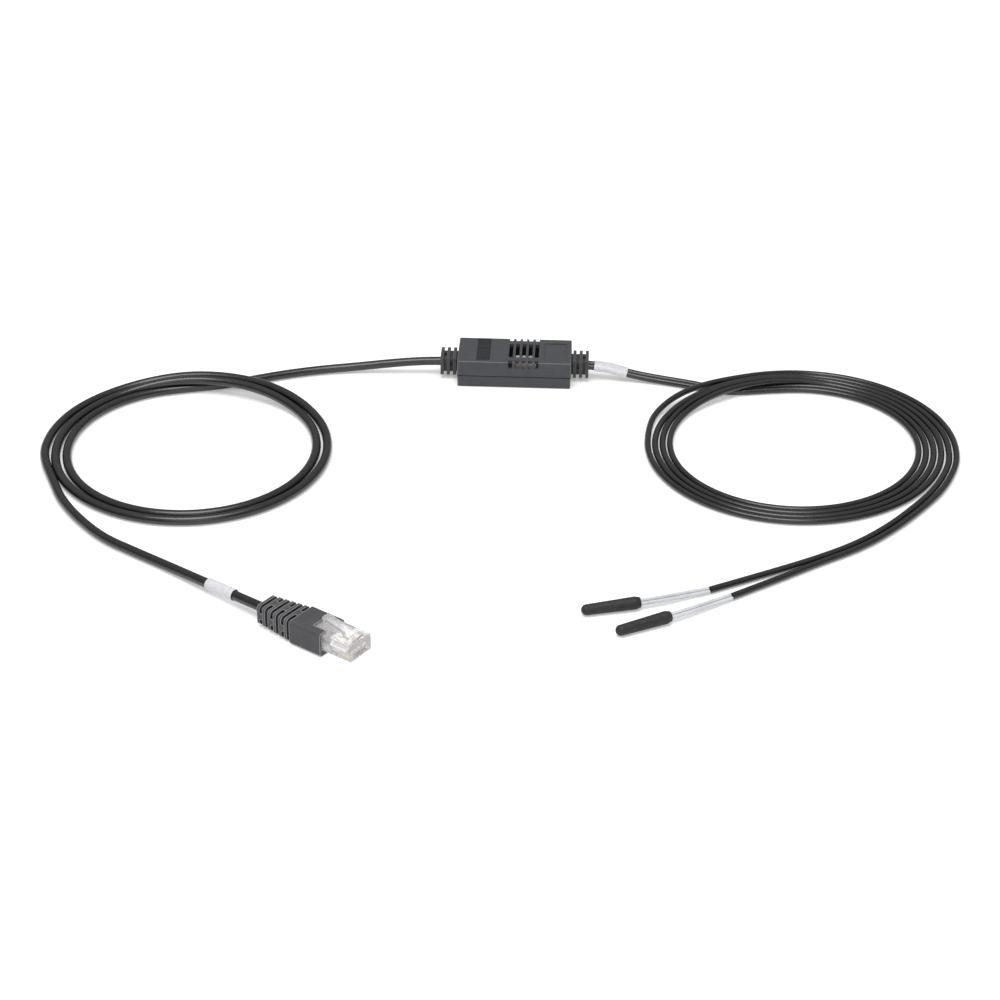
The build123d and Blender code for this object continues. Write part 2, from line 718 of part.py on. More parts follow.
# Probes: twin lead, hollow cap and the bead inside it
probes = {"rear": (rear_probe, rear_tail_route), "front": (front_probe, front_tail_route)}
for name, ((tip, mouth, roll), tail_route) in probes.items():
    tip_point = Vector(*tip, cap_tip_radius + fit_gap)
    cap_axis = (Vector(*mouth, cap_shoulder_radius + 2 * fit_gap) - tip_point).normalized()
    mouth_point = tip_point + cap_axis * cap_length
    cap_side = Plane(origin=tip_point, x_dir=cap_axis, z_dir=cap_axis.cross(Vector(0, 0, 1)))

    with BuildPart() as probe_cap:
        with BuildSketch(cap_side):
            with BuildLine():
                nose = cap_tip_radius * (1 - cos(pi / 4))
                ThreePointArc((0, 0), (nose, cap_tip_radius * sin(pi / 4)), (cap_tip_radius, cap_tip_radius))
                Polyline(
                    (cap_tip_radius, cap_tip_radius),
                    (cap_length - cap_taper, cap_shoulder_radius),
                    (cap_length, cap_mouth_radius),
                    (cap_length, cap_bore_radius),
                    (cap_floor, cap_bore_radius),
                    (cap_floor, 0),
                    (0, 0),
                )
            make_face()
        revolve(axis=Axis(tip_point, cap_axis))
    probe_cap.part.label = f"{name}_probe_cap"
    export_step(probe_cap.part, f"parts/{name}_probe_cap.step")

    tail_end = Vector(*tail_route[-1])
    bend_point = mouth_point + cap_axis * 6.0
    inner_end = mouth_point - cap_axis * twin_core_inside
    lead_start = tail_end + (bend_point - tail_end).normalized() * 0.3
    lead_points = [tuple(lead_start), tuple(bend_point), tuple(inner_end)]
    lead_heading = (bend_point - tail_end).normalized()
    lead_side = rolled_side(lead_heading, roll)
    with BuildPart() as twin_lead:
        with BuildLine() as lead_route:
            FilletPolyline(*lead_points, radius=bend_radii(lead_points))
        with BuildSketch(Plane(origin=lead_start, x_dir=lead_side, z_dir=lead_heading)):
            with Locations((-twin_core_spacing / 2, 0), (twin_core_spacing / 2, 0)):
                Circle(twin_core_diameter / 2)
        sweep(path=lead_route.line)
    twin_lead.part.label = f"{name}_twin_lead"
    export_step(twin_lead.part, f"parts/{name}_twin_lead.step")

    bead_station = cap_floor + bead_clearance + bead_radius
    leg_length = cap_length - twin_core_inside - bead_station
    leg_side = rolled_side(cap_axis * -1, roll)
    with BuildPart() as thermistor:
        with BuildSketch(cap_side):
            with BuildLine():
                CenterArc((bead_station, 0), bead_radius, 0, 180)
                Line((bead_station - bead_radius, 0), (bead_station + bead_radius, 0))
            make_face()
        revolve(axis=Axis(tip_point, cap_axis))
        with BuildSketch(Plane(origin=inner_end, x_dir=leg_side, z_dir=cap_axis * -1)):
            with Locations((-twin_core_spacing / 2, 0), (twin_core_spacing / 2, 0)):
                Circle(leg_diameter / 2)
        extrude(amount=leg_length - bead_radius / 2)
    thermistor.part.label = f"{name}_thermistor"
    export_step(thermistor.part, f"parts/{name}_thermistor.step")
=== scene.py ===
"""Rack temperature sensor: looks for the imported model, in metres, in the model's own frame."""

from math import cos, pi, radians, sin

import bmesh
import bpy
from mathutils import Matrix, Vector


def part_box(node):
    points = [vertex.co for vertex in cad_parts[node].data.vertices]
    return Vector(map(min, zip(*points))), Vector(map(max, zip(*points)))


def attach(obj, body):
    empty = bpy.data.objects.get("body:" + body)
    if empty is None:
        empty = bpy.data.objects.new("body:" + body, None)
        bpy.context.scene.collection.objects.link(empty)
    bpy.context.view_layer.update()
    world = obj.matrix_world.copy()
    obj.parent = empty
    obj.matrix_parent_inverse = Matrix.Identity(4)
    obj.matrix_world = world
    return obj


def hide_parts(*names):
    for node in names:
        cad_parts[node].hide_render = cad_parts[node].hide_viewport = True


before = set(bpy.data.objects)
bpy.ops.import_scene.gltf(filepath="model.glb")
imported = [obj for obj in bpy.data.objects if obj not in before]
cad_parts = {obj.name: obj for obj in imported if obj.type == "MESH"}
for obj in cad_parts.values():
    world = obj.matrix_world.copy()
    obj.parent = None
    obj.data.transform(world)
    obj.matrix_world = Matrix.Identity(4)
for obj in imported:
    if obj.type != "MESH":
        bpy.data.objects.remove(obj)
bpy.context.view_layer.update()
scene = bpy.context.scene


# Camera: a long lens from the front, looking down at 30 degrees
camera_data = bpy.data.cameras.new("camera")
camera_data.sensor_width = 36.0
camera_data.lens = 87.3
camera_data.clip_start = 0.01
camera = bpy.data.objects.new("camera", camera_data)
camera.location = (0.0303, -0.9436, 0.4821)
camera_turn = Matrix.Rotation(radians(2.2), 3, "Z")
camera_tilt = Matrix.Rotation(radians(60.0), 3, "X")
camera_roll = Matrix.Rotation(radians(0.5), 3, "Z")
camera.rotation_euler = (camera_turn @ camera_tilt @ camera_roll).to_euler()
scene.collection.objects.link(camera)
scene.camera = camera


# Cables: routes and coils in millimetres, turned into metres where the splines are made
PER_METRE = 1000.0
NETWORK_DIAMETER = 3.8
NETWORK_FLOOR = 1.95
PROBE_DIAMETER = 2.65
PROBE_FLOOR = 1.4

network_lead = [
    (-20.7, 0.0, 6.2),
    (-36.7, 0.0, 6.2),
    (-53.0, -0.2, 4.6),
    (-69.0, -0.6, 2.5),
    (-84.0, -3.2, 1.95),
    (-98.5, -8.2, 1.95),
    (-109.0, -12.9, 1.95),
    (-118.0, -17.2, 1.95),
    (-127.0, -20.8, 1.95),
]
network_tail = [
    (-180.3, -108.8, 1.95),
    (-175.2, -121.0, 1.95),
    (-166.0, -135.2, 1.95),
    (-153.2, -150.0, 1.95),
    (-140.2, -159.0, 1.95),
    (-121.9, -171.3, 1.95),
    (-90.2, -197.0, 4.8),
    (-56.7, -219.8, 4.8),
]
rear_probe_lead = [
    (20.7, -1.45, 6.2),
    (37.0, -1.45, 6.2),
    (51.0, -2.95, 2.7),
    (64.0, -5.05, 1.4),
    (75.5, -8.35, 1.4),
    (85.5, -12.35, 1.4),
    (96.0, -13.6, 1.4),
    (107.0, -11.3, 1.4),
]
front_probe_lead = [
    (20.7, 1.45, 6.2),
    (37.0, 1.45, 6.2),
    (51.0, -0.05, 2.7),
    (64.0, -2.15, 1.4),
    (75.5, -5.45, 1.4),
    (85.5, -9.45, 1.4),
    (96.5, -10.6, 1.4),
    (107.5, -8.2, 1.4),
]
rear_probe_tail = [
    (178.6, -77.3, 1.4),
    (172.1, -93.0, 1.4),
    (162.7, -107.6, 1.4),
    (150.5, -123.9, 1.4),
    (136.7, -138.1, 1.4),
    (119.2, -150.7, 1.4),
    (98.0, -163.4, 1.4),
    (79.3, -174.3, 1.4),
]
front_probe_tail = [
    (181.3, -78.6, 1.4),
    (174.8, -94.5, 1.4),
    (165.2, -109.3, 1.4),
    (152.8, -125.8, 1.4),
    (138.8, -140.4, 1.4),
    (120.8, -153.1, 1.4),
    (104.0, -166.2, 1.4),
    (87.4, -178.4, 1.4),
]

# Coils: lengths in millimetres, angles in degrees; each grows, is a little oval and lifts at crossings
TURN_STEP = 15.0
NETWORK_CENTRE = (-130.8, -76.5)
NETWORK_START = 101.0
NETWORK_END = 925.0
NETWORK_RADIUS = 50.4
NETWORK_GROWTH = 4.62
NETWORK_OVAL = 2.1
NETWORK_OVAL_ANGLE = 104.0
NETWORK_CROSSINGS = (444.0, 796.0)
NETWORK_LIFT = 4.0
NETWORK_PLATEAU = 15.0
NETWORK_RAMP = 40.0
NETWORK_LEAN = 1.1
PROBE_CENTRE = (119.3, -59.3)
PROBE_START = 84.0
PROBE_END = -728.0
PROBE_RADIUS = 49.0
PROBE_GROWTH = 6.2
PROBE_OVAL = 2.0
PROBE_OVAL_ANGLE = 60.0
PROBE_LIFT = 2.8
PROBE_RAMP = 30.0
FIRST_CROSSING = -248.0
FIRST_PLATEAU = 16.0
FIRST_LEAN = 1.3
LAST_CROSSING = -598.0
LAST_PLATEAU = 14.0
LAST_LEAN = 2.0
STRAY_ANGLE = -576.0
STRAY_PLATEAU = 6.0
STRAY_RAMP = 26.0
FRONT_OUTWARD = 3.1
FRONT_STRAY = 2.6


def hump(angle, crossing, plateau, ramp):
    """The share of a full lift at an angle: 1 over the crossing, easing to 0 on both sides."""
    share = (plateau + ramp - abs(angle - crossing)) / ramp
    share = min(max(share, 0.0), 1.0)
    return share * share * (3.0 - 2.0 * share)


def coil_point(centre, radius, angle, height):
    """A control point that keeps the smooth line at a radius, in millimetres."""
    reach = radius / cos(radians(TURN_STEP / 2.0))
    return (
        centre[0] + reach * cos(radians(angle)),
        centre[1] + reach * sin(radians(angle)),
        height,
    )


def network_turns():
    """Loose turns that grow outwards, the later ones lying over the cable that comes in."""
    points = []
    angle = NETWORK_START
    while angle < NETWORK_END:
        turns = (angle - 90.0) / 360.0
        oval = NETWORK_OVAL * cos(radians(2.0 * (angle - NETWORK_OVAL_ANGLE)))
        radius = NETWORK_RADIUS + NETWORK_GROWTH * turns + oval
        humps = [hump(angle, place, NETWORK_PLATEAU, NETWORK_RAMP) for place in NETWORK_CROSSINGS]
        lift = NETWORK_LIFT * max(humps)
        radius -= NETWORK_LEAN * lift * sin(radians(angle))
        points.append(coil_point(NETWORK_CENTRE, radius, angle, NETWORK_FLOOR + lift))
        angle += TURN_STEP
    return points


def probe_turns(outward, stray):
    """Turns of one cable of the pair, wound the other way, over the pair that comes in."""
    points = []
    angle = PROBE_START
    while angle > PROBE_END:
        turns = (90.0 - angle) / 360.0
        oval = PROBE_OVAL * cos(radians(2.0 * (angle - PROBE_OVAL_ANGLE)))
        radius = PROBE_RADIUS + outward + PROBE_GROWTH * turns + oval
        first_lift = PROBE_LIFT * hump(angle, FIRST_CROSSING, FIRST_PLATEAU, PROBE_RAMP)
        last_lift = PROBE_LIFT * hump(angle, LAST_CROSSING, LAST_PLATEAU, PROBE_RAMP)
        radius -= (FIRST_LEAN * first_lift + LAST_LEAN * last_lift) * sin(radians(angle))
        radius += stray * hump(angle, STRAY_ANGLE, STRAY_PLATEAU, STRAY_RAMP)
        height = PROBE_FLOOR + max(first_lift, last_lift)
        points.append(coil_point(PROBE_CENTRE, radius, angle, height))
        angle -= TURN_STEP
    return points


def lay_spline(curve, points):
    """A smooth spline on a curve, along control points given in millimetres."""
    spline = curve.splines.new("NURBS")
    spline.points.add(len(points) - 1)
    for place, (x, y, z) in zip(spline.points, points):
        place.co = (x / PER_METRE, y / PER_METRE, z / PER_METRE, 1.0)
    spline.order_u = 3
    spline.use_endpoint_u = True
    return spline


def cable(name, points, diameter):
    """A smooth round cable, whose thickness is set by the radius of its points."""
    curve = bpy.data.curves.new(name, "CURVE")
    curve.dimensions = "3D"
    curve.bevel_depth = 1.0
    curve.bevel_resolution = 5
    curve.resolution_u = 6
    curve.use_fill_caps = True
    for place in lay_spline(curve, points).points:
        place.radius = diameter / 2.0 / PER_METRE
    piece = bpy.data.objects.new(name, curve)
    scene.collection.objects.link(piece)
    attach(piece, "root")
    return piece


network_points = network_lead + network_turns() + network_tail
rear_points = rear_probe_lead + probe_turns(0.0, 0.0) + rear_probe_tail
front_points = front_probe_lead + probe_turns(FRONT_OUTWARD, FRONT_STRAY) + front_probe_tail
network_cable = cable("network_cable", network_points, NETWORK_DIAMETER)
rear_cable = cable("rear_probe_cable", rear_points, PROBE_DIAMETER)
front_cable = cable("front_probe_cable", front_points, PROBE_DIAMETER)
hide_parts("network_lead", "network_coil", "network_tail")
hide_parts("rear_probe_lead", "rear_probe_tail", "probe_coil")
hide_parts("front_probe_lead", "front_probe_tail")


def line_of(points):
    """The smooth line of a route, read from its own spline with no thickness."""
    curve = bpy.data.curves.new("route", "CURVE")
    curve.dimensions = "3D"
    curve.resolution_u = 12
    lay_spline(curve, points)
    holder = bpy.data.objects.new("route", curve)
    mesh = bpy.data.meshes.new_from_object(holder)
    line = [vertex.co.copy() for vertex in mesh.vertices]
    bpy.data.objects.remove(holder)
    bpy.data.curves.remove(curve)
    bpy.data.meshes.remove(mesh)
    return line


network_line = line_of(network_points)
rear_line = line_of(rear_points)
front_line = line_of(front_points)


# Labels: thin films wrapped round the cables, along the cables' own lines, sizes in metres
LABEL_STEPS = 24
LABEL_THICKNESS = 0.00014
NETWORK_LABEL_LENGTH = 0.0139
NETWORK_LABEL_RADIUS = 0.00206
NETWORK_LABEL_OVERLAP = 50.0
PAIR_LABEL_LENGTH = 0.0146
PAIR_LABEL_RADIUS = 0.00158
PAIR_SPACING = 0.0029


def stretch_of(line, middle, length):
    """Even points along a line, over a length centred on the point nearest to a place."""
    reach = [0.0]
    for before, after in zip(line, line[1:]):
        reach.append(reach[-1] + (after - before).length)
    nearest = min(range(len(line)), key=lambda i: (line[i] - middle).length)
    ahead = (line[nearest + 1] - line[nearest - 1]).normalized()
    centre = reach[nearest] + (middle - line[nearest]).dot(ahead)
    places = []
    span = 0
    for i in range(LABEL_STEPS + 1):
        wanted = centre + length * (i / LABEL_STEPS - 0.5)
        while reach[span + 1] < wanted:
            span += 1
        share = (wanted - reach[span]) / (reach[span + 1] - reach[span])
        places.append(line[span].lerp(line[span + 1], share))
    return places


def film(name, line, outline):
    """A closed band: an outline of (across, up) pairs in metres, carried along a line."""
    built = bmesh.new()
    rings = []
    for i, place in enumerate(line):
        ahead = line[min(i + 1, len(line) - 1)] - line[max(i - 1, 0)]
        ahead.normalize()
        across = ahead.cross(Vector((0.0, 0.0, 1.0))).normalized()
        up = across.cross(ahead)
        rings.append([built.verts.new(place + across * a + up * b) for a, b in outline])
    count = len(outline)
    for before, after in zip(rings, rings[1:]):
        for i in range(count):
            j = (i + 1) % count
            built.faces.new((before[i], before[j], after[j], after[i]))
    half = count // 2
    for ring in (rings[0], rings[-1]):
        for i in range(half - 1):
            built.faces.new((ring[i], ring[i + 1], ring[count - 2 - i], ring[count - 1 - i]))
    bmesh.ops.recalc_face_normals(built, faces=built.faces)
    mesh = bpy.data.meshes.new(name)
    built.to_mesh(mesh)
    built.free()
    piece = bpy.data.objects.new(name, mesh)
    scene.collection.objects.link(piece)
    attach(piece, "root")
    return piece


def wrap_outline(radius, thickness, overlap):
    """A film once round a cable, its end lapping over its start by an overlap in degrees."""
    steps = 40
    first_angle = -250.0
    lap_rise = thickness * 1.15
    lap_start = 0.8
    lap_ramp = 0.1
    outer, inner = [], []
    for i in range(steps + 1):
        share = i / steps
        angle = radians(first_angle + (360.0 + overlap) * share)
        rise = lap_rise * min(max((share - lap_start) / lap_ramp, 0.0), 1.0)
        outside = radius + thickness + rise
        inside = radius + rise
        outer.append((outside * cos(angle), outside * sin(angle)))
        inner.append((inside * cos(angle), inside * sin(angle)))
    return outer + inner[::-1]


def pair_outline(radius, spacing, thickness):
    """A film round two cables side by side, closed underneath."""
    steps = 14
    outer, inner = [], []
    for size, side in ((radius + thickness, outer), (radius, inner)):
        for i in range(steps + 1):
            angle = radians(-90.0 + 180.0 * i / steps)
            side.append((spacing / 2.0 + size * cos(angle), size * sin(angle)))
        for i in range(steps + 1):
            angle = radians(90.0 + 180.0 * i / steps)
            side.append((-spacing / 2.0 + size * cos(angle), size * sin(angle)))
    return outer + inner[::-1]


def box_middle(name):
    """The middle of a CAD node's box."""
    low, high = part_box(name)
    return (Vector(low) + Vector(high)) / 2.0


network_label = film(
    "network_wrap_label",
    stretch_of(network_line, box_middle("network_label"), NETWORK_LABEL_LENGTH),
    wrap_outline(NETWORK_LABEL_RADIUS, LABEL_THICKNESS, NETWORK_LABEL_OVERLAP),
)
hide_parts("network_label")
pair_line = [(a + b) / 2.0 for a, b in zip(rear_line, front_line)]
pair_label = film(
    "probe_wrap_label",
    stretch_of(pair_line, box_middle("probe_label"), PAIR_LABEL_LENGTH),
    pair_outline(PAIR_LABEL_RADIUS, PAIR_SPACING, LABEL_THICKNESS),
)
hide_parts("probe_label")


# Grip insert in the band across the case's top: a knurled plate on the recess's floor, in metres
GRIP_MIDDLE = (-0.0135, 0.0006)
GRIP_SIZE = (0.0056, 0.0206)
GRIP_RECESS = 0.0004
GRIP_THICKNESS = 0.00018
GRIP_KNURL = 0.00014
GRIP_PITCH = 0.0016


def grip_plate(name, middle, size, floor_height, thickness, knurl, pitch):
    """A closed plate with a diamond knurl on top."""
    built = bmesh.new()
    columns, rows = 32, 112
    grid = []
    for i in range(columns + 1):
        line = []
        for j in range(rows + 1):
            x = size[0] * (i / columns - 0.5)
            y = size[1] * (j / rows - 0.5)
            wave = cos(2.0 * pi * (x + y) / pitch) * cos(2.0 * pi * (x - y) / pitch)
            edge = i in (0, columns) or j in (0, rows)
            height = floor_height + thickness + (0.0 if edge else knurl * max(wave, 0.0))
            line.append(built.verts.new((middle[0] + x, middle[1] + y, height)))
        grid.append(line)
    for i in range(columns):
        for j in range(rows):
            built.faces.new((grid[i][j], grid[i + 1][j], grid[i + 1][j + 1], grid[i][j + 1]))
    rim = [grid[i][0] for i in range(columns)]
    rim += [grid[columns][j] for j in range(rows)]
    rim += [grid[i][rows] for i in range(columns, 0, -1)]
    rim += [grid[0][j] for j in range(rows, 0, -1)]
    feet = [built.verts.new((corner.co.x, corner.co.y, floor_height)) for corner in rim]
    for i in range(len(rim)):
        j = (i + 1) % len(rim)
        built.faces.new((rim[i], feet[i], feet[j], rim[j]))
    built.faces.new(feet)
    bmesh.ops.recalc_face_normals(built, faces=built.faces)
    mesh = bpy.data.meshes.new(name)
    built.to_mesh(mesh)
    built.free()
    piece = bpy.data.objects.new(name, mesh)
    scene.collection.objects.link(piece)
    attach(piece, "root")
    return piece


case_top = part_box("upper_shell")[1][2]
grip_insert = grip_plate(
    "grip_insert",
    GRIP_MIDDLE,
    GRIP_SIZE,
    case_top - GRIP_RECESS,
    GRIP_THICKNESS,
    GRIP_KNURL,
    GRIP_PITCH,
)


def node(name):
    """The CAD object of a node."""
    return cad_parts[name]


# Materials: each is a small node tree with the grain of the real surface, sizes in metres; some also
# carry painted highlights and painted shade
def material(name, colour, roughness, specular=0.5):
    """A new material with one main shader, and its colour, gloss and strength of reflection."""
    made = bpy.data.materials.new(name)
    made.use_nodes = True
    shader = made.node_tree.nodes["Principled BSDF"]
    shader.inputs["Base Color"].default_value = (*colour, 1.0)
    shader.inputs["Roughness"].default_value = roughness
    shader.inputs["Specular IOR Level"].default_value = specular
    return made


def noise(made, feature, detail=4.0, stretch=(1.0, 1.0, 1.0)):
    """A noise over the object's own coordinates, with features of a size in metres."""
    nodes, links = made.node_tree.nodes, made.node_tree.links
    place = nodes.new("ShaderNodeTexCoord")
    shape = nodes.new("ShaderNodeMapping")
    shape.inputs["Scale"].default_value = stretch
    cloud = nodes.new("ShaderNodeTexNoise")
    cloud.inputs["Scale"].default_value = 1.0 / feature
    cloud.inputs["Detail"].default_value = detail
    links.new(place.outputs["Object"], shape.inputs["Vector"])
    links.new(shape.outputs["Vector"], cloud.inputs["Vector"])
    return cloud


def mottle(made, dark, light, feature, low=0.35, high=0.65, stretch=(1.0, 1.0, 1.0)):
    """Colour that drifts between two shades."""
    nodes, links = made.node_tree.nodes, made.node_tree.links
    cloud = noise(made, feature, stretch=stretch)
    ramp = nodes.new("ShaderNodeValToRGB")
    ramp.color_ramp.elements[0].position = low
    ramp.color_ramp.elements[0].color = (*dark, 1.0)
    ramp.color_ramp.elements[1].position = high
    ramp.color_ramp.elements[1].color = (*light, 1.0)
    links.new(cloud.outputs["Fac"], ramp.inputs["Fac"])
    links.new(ramp.outputs["Color"], nodes["Principled BSDF"].inputs["Base Color"])
    return ramp.outputs["Color"]


def uneven_gloss(made, low, high, feature):
    """Roughness that drifts between two values."""
    nodes, links = made.node_tree.nodes, made.node_tree.links
    cloud = noise(made, feature)
    span = nodes.new("ShaderNodeMapRange")
    span.inputs["From Min"].default_value = 0.3
    span.inputs["From Max"].default_value = 0.7
    span.inputs["To Min"].default_value = low
    span.inputs["To Max"].default_value = high
    links.new(cloud.outputs["Fac"], span.inputs["Value"])
    links.new(span.outputs["Result"], nodes["Principled BSDF"].inputs["Roughness"])


def grain(made, feature, depth, strength=0.5, stretch=(1.0, 1.0, 1.0)):
    """A fine relief on the surface."""
    nodes, links = made.node_tree.nodes, made.node_tree.links
    cloud = noise(made, feature, 2.0, stretch)
    relief = nodes.new("ShaderNodeBump")
    relief.inputs["Strength"].default_value = strength
    relief.inputs["Distance"].default_value = depth
    links.new(cloud.outputs["Fac"], relief.inputs["Height"])
    links.new(relief.outputs["Normal"], nodes["Principled BSDF"].inputs["Normal"])


def blend_in(made, source, share, colour):
    """A colour mixed over a colour socket by a share, on its way to the main shader."""
    nodes, links = made.node_tree.nodes, made.node_tree.links
    paint = nodes.new("ShaderNodeMix")
    paint.data_type = "RGBA"
    paint.inputs[7].default_value = (*colour, 1.0)
    links.new(share, paint.inputs[0])
    links.new(source, paint.inputs[6])
    links.new(paint.outputs[2], nodes["Principled BSDF"].inputs["Base Color"])
    return paint.outputs[2]


def share_of(made, value, none, full):
    """A share from 0 to 1, as a value goes from none to full."""
    span = made.node_tree.nodes.new("ShaderNodeMapRange")
    span.inputs["From Min"].default_value = none
    span.inputs["From Max"].default_value = full
    made.node_tree.links.new(value, span.inputs["Value"])
    return span.outputs["Result"]


def painted_edge_line(made, source, colour, reach):
    """A painted line along sharp edges, from normals averaged over a reach in metres: a painted
    highlight in a paler colour, painted shade in a darker one.
    """
    nodes, links = made.node_tree.nodes, made.node_tree.links
    rounded = nodes.new("ShaderNodeBevel")
    rounded.samples = 8
    rounded.inputs["Radius"].default_value = reach
    surface = nodes.new("ShaderNodeNewGeometry")
    match = nodes.new("ShaderNodeVectorMath")
    match.operation = "DOT_PRODUCT"
    links.new(rounded.outputs["Normal"], match.inputs[0])
    links.new(surface.outputs["Normal"], match.inputs[1])
    return blend_in(made, source, share_of(made, match.outputs["Value"], 0.995, 0.88), colour)


def painted_corner_highlight(made, source, colour):
    """A painted highlight: a paler tone on the rounded edges of a box that lies along the axes."""
    nodes, links = made.node_tree.nodes, made.node_tree.links
    surface = nodes.new("ShaderNodeNewGeometry")
    size = nodes.new("ShaderNodeVectorMath")
    size.operation = "ABSOLUTE"
    parts = nodes.new("ShaderNodeSeparateXYZ")
    links.new(surface.outputs["Normal"], size.inputs[0])
    links.new(size.outputs["Vector"], parts.inputs["Vector"])
    largest = parts.outputs["X"]
    for axis in ("Y", "Z"):
        larger = nodes.new("ShaderNodeMath")
        larger.operation = "MAXIMUM"
        links.new(largest, larger.inputs[0])
        links.new(parts.outputs[axis], larger.inputs[1])
        largest = larger.outputs["Value"]
    return blend_in(made, source, share_of(made, largest, 0.985, 0.9), colour)


def painted_crevice_shade(made, source, colour, reach):
    """Painted shade: a darker tone in grooves and corners, up to a reach in metres."""
    shade = made.node_tree.nodes.new("ShaderNodeAmbientOcclusion")
    shade.samples = 8
    shade.only_local = True
    shade.inputs["Distance"].default_value = reach
    return blend_in(made, source, share_of(made, shade.outputs["AO"], 0.85, 0.25), colour)


case_plastic = material("case_plastic", (0.061, 0.063, 0.070), 0.5, 0.3)
case_shades = mottle(case_plastic, (0.057, 0.059, 0.066), (0.065, 0.067, 0.074), 0.004)
# Painted highlight: paler rounded edges on the case; painted shade: darker grooves and corners
case_painted_highlight = painted_corner_highlight(case_plastic, case_shades, (0.14, 0.142, 0.147))
painted_crevice_shade(case_plastic, case_painted_highlight, (0.014, 0.014, 0.016), 0.0012)
uneven_gloss(case_plastic, 0.46, 0.56, 0.0015)
grain(case_plastic, 0.00035, 0.00004)

grip_plastic = material("grip_plastic", (0.027, 0.0275, 0.030), 0.6, 0.2)
mottle(grip_plastic, (0.024, 0.0245, 0.027), (0.031, 0.0315, 0.034), 0.003)
uneven_gloss(grip_plastic, 0.55, 0.66, 0.001)
grain(grip_plastic, 0.0003, 0.00003)

relief_rubber = material("relief_rubber", (0.062, 0.062, 0.066), 0.55, 0.25)
relief_shades = mottle(relief_rubber, (0.058, 0.058, 0.062), (0.067, 0.067, 0.071), 0.003)
# Painted highlight: paler lines along the relief's rib edges; painted shade: darker grooves between
# the ribs
relief_painted_highlight = painted_edge_line(relief_rubber, relief_shades, (0.12, 0.12, 0.125), 0.0004)
painted_crevice_shade(relief_rubber, relief_painted_highlight, (0.012, 0.012, 0.013), 0.0014)
uneven_gloss(relief_rubber, 0.52, 0.64, 0.001)
grain(relief_rubber, 0.0004, 0.00003)

cable_jacket = material("cable_jacket", (0.005, 0.005, 0.006), 0.26, 0.68)
mottle(cable_jacket, (0.003, 0.003, 0.004), (0.007, 0.007, 0.008), 0.006)
uneven_gloss(cable_jacket, 0.22, 0.30, 0.004)
grain(cable_jacket, 0.0007, 0.00003, 0.4)

boot_rubber = material("boot_rubber", (0.068, 0.068, 0.072), 0.5, 0.28)
boot_shades = mottle(boot_rubber, (0.063, 0.063, 0.067), (0.073, 0.073, 0.077), 0.004)
# Painted highlight: bright lines along the boot's rib edges; painted shade: darker grooves
boot_painted_highlight = painted_edge_line(boot_rubber, boot_shades, (0.34, 0.34, 0.35), 0.0006)
painted_crevice_shade(boot_rubber, boot_painted_highlight, (0.006, 0.006, 0.007), 0.0018)
uneven_gloss(boot_rubber, 0.46, 0.56, 0.0012)
grain(boot_rubber, 0.00035, 0.00004)

clear_plastic = material("clear_plastic", (0.91, 0.90, 0.90), 0.08, 0.5)
clear_shader = clear_plastic.node_tree.nodes["Principled BSDF"]
clear_shader.inputs["Transmission Weight"].default_value = 0.82
clear_shader.inputs["IOR"].default_value = 1.42
clear_shades = mottle(clear_plastic, (0.88, 0.87, 0.87), (0.94, 0.93, 0.93), 0.003)
# Painted shade: darker lines along the plug's edges
painted_edge_line(clear_plastic, clear_shades, (0.60, 0.60, 0.61), 0.0009)
uneven_gloss(clear_plastic, 0.04, 0.14, 0.002)
grain(clear_plastic, 0.0015, 0.00003, 0.3)

gold_plate = material("gold_plate", (0.84, 0.68, 0.40), 0.2)
gold_plate.node_tree.nodes["Principled BSDF"].inputs["Metallic"].default_value = 1.0
mottle(gold_plate, (0.79, 0.62, 0.34), (0.88, 0.74, 0.48), 0.0008)
uneven_gloss(gold_plate, 0.14, 0.3, 0.0005)

twin_sheath = material("twin_sheath", (0.62, 0.63, 0.66), 0.32, 0.5)
twin_shades = mottle(twin_sheath, (0.57, 0.58, 0.61), (0.66, 0.67, 0.70), 0.006)
# Painted shade: a darker line in the groove between the twin lead's cores
painted_crevice_shade(twin_sheath, twin_shades, (0.22, 0.225, 0.24), 0.0009)
uneven_gloss(twin_sheath, 0.25, 0.36, 0.003)
grain(twin_sheath, 0.0006, 0.00002, 0.3)

cap_rubber = material("cap_rubber", (0.026, 0.026, 0.027), 0.58, 0.3)
mottle(cap_rubber, (0.022, 0.022, 0.023), (0.032, 0.032, 0.033), 0.002)
uneven_gloss(cap_rubber, 0.5, 0.66, 0.001)
grain(cap_rubber, 0.0005, 0.00006)

bead_glaze = material("bead_glaze", (0.02, 0.016, 0.012), 0.2)
mottle(bead_glaze, (0.015, 0.012, 0.010), (0.03, 0.022, 0.016), 0.001)

label_film = material("label_film", (0.66, 0.66, 0.70), 0.35, 0.4)
mottle(label_film, (0.61, 0.61, 0.65), (0.70, 0.70, 0.74), 0.002)
uneven_gloss(label_film, 0.28, 0.42, 0.0015)
grain(label_film, 0.0012, 0.00004, 0.4)

# Painted shade: the board is near-black so that it reads as dark as the shaded inside of the case
board_painted_shade = material("board_painted_shade", (0.010, 0.014, 0.012), 0.35)
mottle(board_painted_shade, (0.008, 0.011, 0.009), (0.014, 0.020, 0.017), 0.0012)
grain(board_painted_shade, 0.0006, 0.00002, 0.4)

chip_epoxy = material("chip_epoxy", (0.012, 0.012, 0.012), 0.55)
mottle(chip_epoxy, (0.010, 0.010, 0.010), (0.016, 0.016, 0.016), 0.0006)
grain(chip_epoxy, 0.0002, 0.00002)

white_nylon = material("white_nylon", (0.80, 0.79, 0.75), 0.4)
mottle(white_nylon, (0.74, 0.73, 0.69), (0.84, 0.83, 0.80), 0.0015)
grain(white_nylon, 0.0004, 0.00002)

